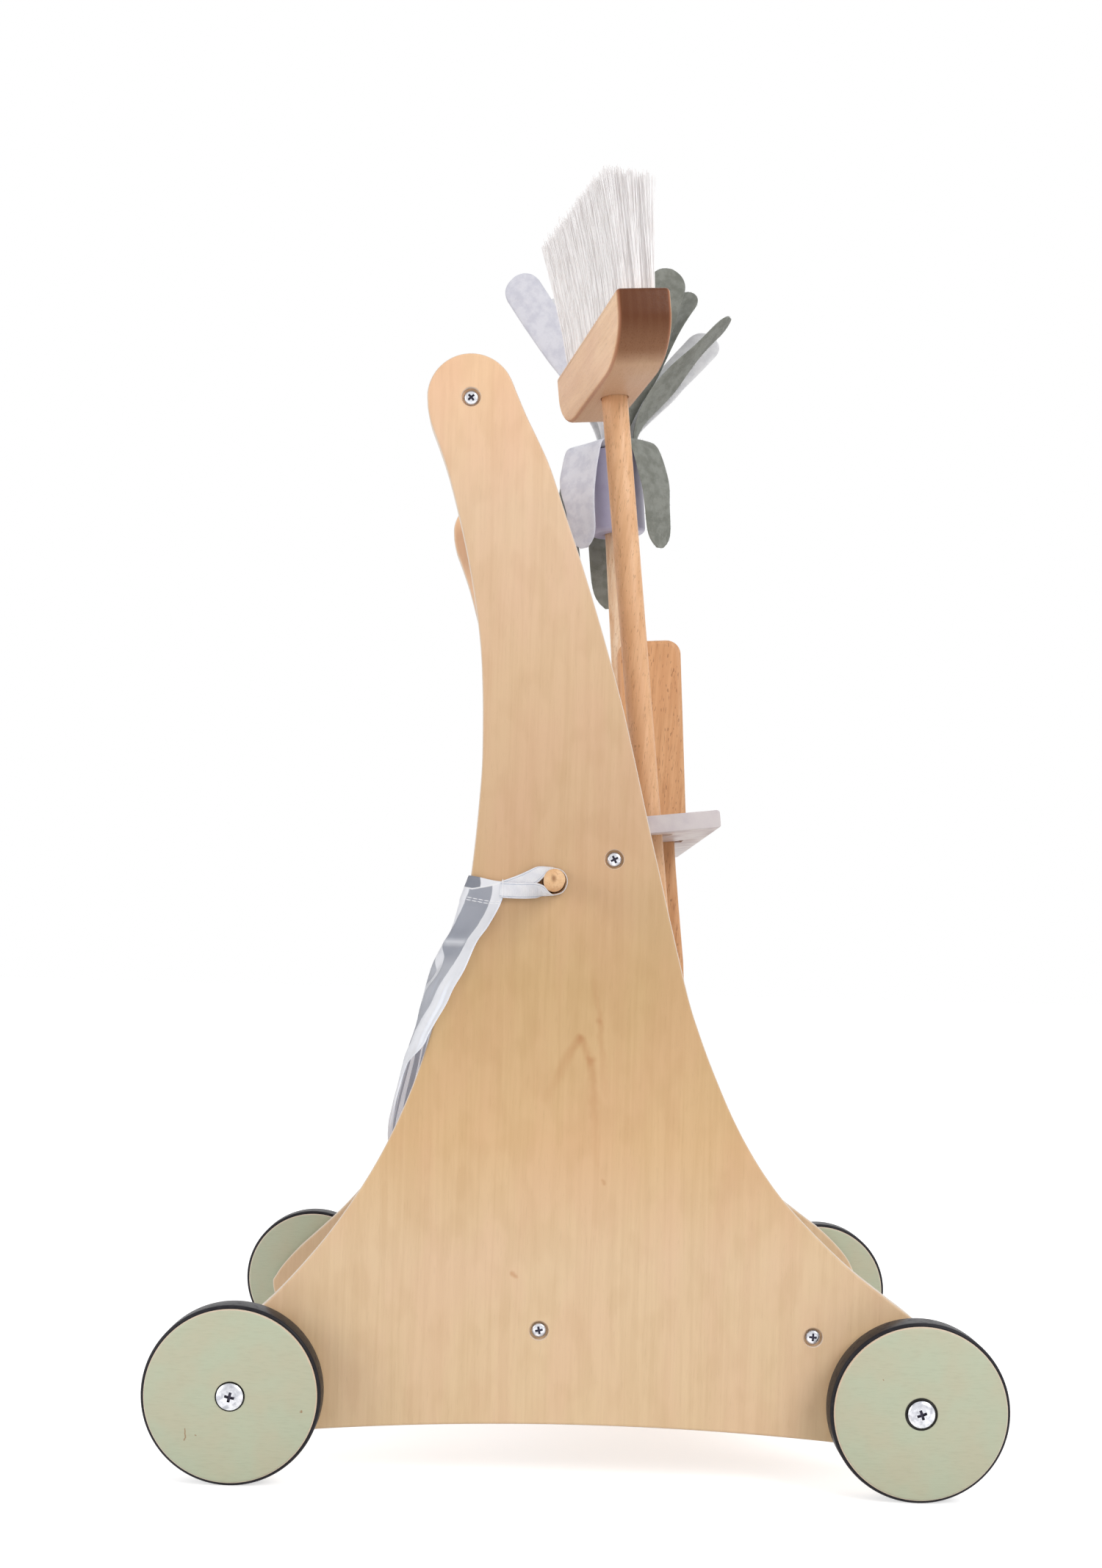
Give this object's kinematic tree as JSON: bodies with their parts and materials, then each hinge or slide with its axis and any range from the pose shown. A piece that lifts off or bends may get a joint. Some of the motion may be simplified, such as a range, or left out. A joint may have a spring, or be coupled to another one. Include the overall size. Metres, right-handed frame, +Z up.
{
  "type": "toddler push toy",
  "caption": "Wooden push-along cleaning cart for a toddler, on wheels, with a dowel handle, a tilted rack of broom, mop and hand brush, a lower shelf and a hanging apron.",
  "frame": {"origin": "on the floor, under the middle of the four wheels", "axes": "+X is the way the cart rolls, away from the child; +Y is the cart's left; +Z is up"},
  "size_m": [0.376, 0.362, 0.6251],
  "materials": {
    "birch_ply": "clear satin lacquer on birch plywood",
    "beech": "clear satin lacquer on beech",
    "lavender_board": "satin paint",
    "lavender_paint": "satin paint",
    "sage_paint": "satin paint",
    "tyre_rubber": "matt black rubber",
    "zinc": "bright zinc plate",
    "white_bristle": "white nylon strands",
    "felt_dark": "dark grey wool felt",
    "felt_pale": "pale lavender-grey felt",
    "felt_white": "white felt",
    "apron_cloth": "grey and white striped cotton",
    "apron_ribbon": "white cotton ribbon"
  },
  "bodies": {
    "cart": {"side_panel_right": "birch_ply", "side_panel_left": "birch_ply", "push_handle": "beech", "handle_screw_right": "zinc", "handle_screw_left": "zinc", "rack_shelf": "lavender_board", "rack_rail": "birch_ply", "rack_screw_right": "zinc", "rack_screw_left": "zinc", "rail_screw_right": "zinc", "rail_screw_left": "zinc", "lower_shelf": "birch_ply", "shelf_screw_front_right": "zinc", "shelf_screw_front_left": "zinc", "shelf_screw_rear_right": "zinc", "shelf_screw_rear_left": "zinc", "apron_peg_right": "beech", "apron_peg_left": "beech", "axle_bolt_front_right": "zinc", "axle_bolt_front_left": "zinc", "axle_bolt_rear_right": "zinc", "axle_bolt_rear_left": "zinc", "sleeve_nut_front_right": "zinc", "sleeve_nut_front_left": "zinc", "sleeve_nut_rear_right": "zinc", "sleeve_nut_rear_left": "zinc", "spacer_washer_front_right": "zinc", "spacer_washer_front_left": "zinc", "spacer_washer_rear_right": "zinc", "spacer_washer_rear_left": "zinc", "apron": "apron_cloth", "apron_loop_right": "apron_ribbon", "apron_loop_left": "apron_ribbon"},
    "wheel_front_right": {"wheel_disc_front_right": "sage_paint", "tyre_front_right": "tyre_rubber"},
    "wheel_front_left": {"wheel_disc_front_left": "sage_paint", "tyre_front_left": "tyre_rubber"},
    "wheel_rear_right": {"wheel_disc_rear_right": "sage_paint", "tyre_rear_right": "tyre_rubber"},
    "wheel_rear_left": {"wheel_disc_rear_left": "sage_paint", "tyre_rear_left": "tyre_rubber"},
    "broom": {"broom_stick": "beech", "broom_head": "beech", "broom_bristles": "white_bristle"},
    "mop": {"mop_stick": "beech", "mop_ferrule": "lavender_paint", "felt_strip_1": "felt_dark", "felt_strip_2": "felt_white", "felt_strip_3": "felt_dark", "felt_strip_4": "felt_dark", "felt_strip_5": "felt_pale", "felt_strip_6": "felt_pale", "felt_strip_7": "felt_dark", "felt_strip_8": "felt_dark", "felt_strip_9": "felt_dark", "felt_strip_10": "felt_white", "felt_strip_11": "felt_white"},
    "hand_brush": {"hand_brush_body": "beech", "hand_brush_bristles": "white_bristle"}
  },
  "joints": [
    {"name": "front_right_wheel_turn", "type": "hinge", "parent": "cart", "child": "wheel_front_right", "pos_m": [0.149, -0.161, 0.039], "axis": [0, 1, 0], "continuous": true},
    {"name": "front_left_wheel_turn", "type": "hinge", "parent": "cart", "child": "wheel_front_left", "pos_m": [0.149, 0.161, 0.039], "axis": [0, 1, 0], "continuous": true},
    {"name": "rear_right_wheel_turn", "type": "hinge", "parent": "cart", "child": "wheel_rear_right", "pos_m": [-0.149, -0.161, 0.039], "axis": [0, 1, 0], "continuous": true},
    {"name": "rear_left_wheel_turn", "type": "hinge", "parent": "cart", "child": "wheel_rear_left", "pos_m": [-0.149, 0.161, 0.039], "axis": [0, 1, 0], "continuous": true},
    {"name": "broom_lift", "type": "slide", "parent": "cart", "child": "broom", "axis": [-0.1045, 0, 0.9945], "range_m": [0, 0.235]},
    {"name": "mop_lift", "type": "slide", "parent": "cart", "child": "mop", "axis": [-0.075, 0, 0.9972], "range_m": [0, 0.235]},
    {"name": "hand_brush_lift", "type": "slide", "parent": "cart", "child": "hand_brush", "axis": [-0.0576, 0, 0.9983], "range_m": [0, 0.115]}
  ]
}
